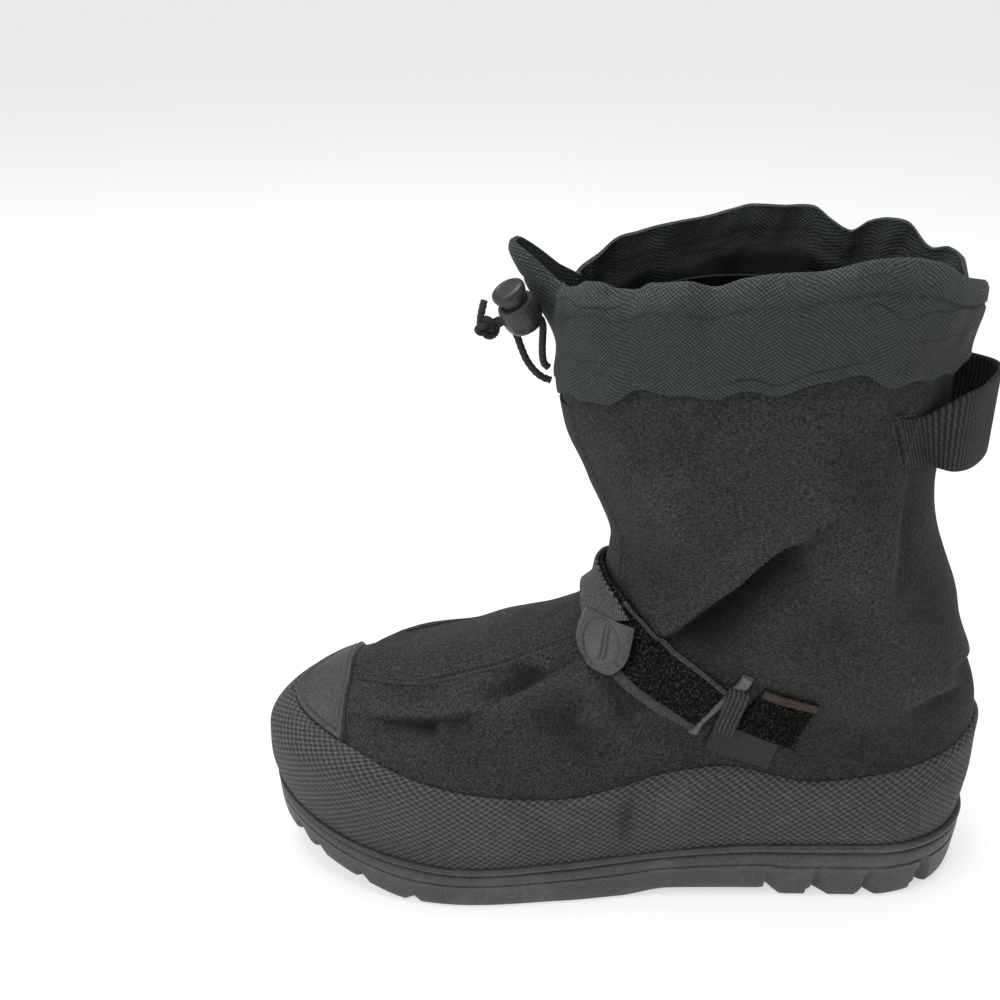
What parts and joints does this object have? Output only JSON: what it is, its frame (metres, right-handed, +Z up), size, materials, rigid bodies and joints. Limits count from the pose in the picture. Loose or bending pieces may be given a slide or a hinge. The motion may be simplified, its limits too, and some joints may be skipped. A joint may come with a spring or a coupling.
{
  "type": "winter overshoe",
  "caption": "Tall winter overshoe for a right foot: hollow fabric upper, rubber rand, toe cap and lugged sole, gathered collar with a cord lock, instep strap with a buckle, rear pull loop.",
  "frame": {"origin": "point on the floor under the middle of the heel, on the tread's flat heel face", "axes": "+X towards the toe along the sole, +Y towards the inner (medial) side of the right foot, +Z up"},
  "size_m": [0.3266, 0.1176, 0.2961],
  "materials": {
    "outsole": "dusty matt rubber",
    "insole": "plain felt",
    "upper": "matt woven fabric",
    "rand": "coarse woven rubberised band",
    "toe_cap": "grained rubber",
    "collar": "ripstop woven nylon",
    "front_flap": "matt woven fabric",
    "strap": "loop pile webbing",
    "over_strap": "flat webbing",
    "strap_tip": "moulded soft plastic",
    "strap_anchor": "loop pile webbing",
    "slot_ring": "moulded plastic",
    "ribbed_tab": "ribbed webbing",
    "label": "bare woven label",
    "buckle_tab": "ribbed webbing",
    "buckle_socket": "moulded plastic",
    "buckle_ladder": "moulded plastic",
    "pull_loop": "ribbed webbing",
    "cord_lock_barrel": "moulded plastic",
    "cord_lock_button": "moulded plastic",
    "cord_loop": "braided cord",
    "drawcord": "braided cord"
  },
  "bodies": {
    "overshoe": {"outsole": "outsole", "insole": "insole", "upper": "upper", "rand": "rand", "toe_cap": "toe_cap", "collar": "collar", "front_flap": "front_flap", "strap": "strap", "over_strap": "over_strap", "strap_tip": "strap_tip", "strap_anchor": "strap_anchor", "slot_ring": "slot_ring", "ribbed_tab": "ribbed_tab", "label": "label", "buckle_tab": "buckle_tab", "buckle_socket": "buckle_socket", "buckle_ladder": "buckle_ladder", "pull_loop": "pull_loop", "cord_lock_barrel": "cord_lock_barrel", "cord_loop": "cord_loop", "drawcord": "drawcord"},
    "button": {"cord_lock_button": "cord_lock_button"}
  },
  "joints": [
    {"name": "button_press", "type": "slide", "parent": "overshoe", "child": "button", "axis": [-0.4471, -0.2521, -0.8582], "range_m": [0, 0.0025], "stiffness_N_per_m": 400}
  ]
}
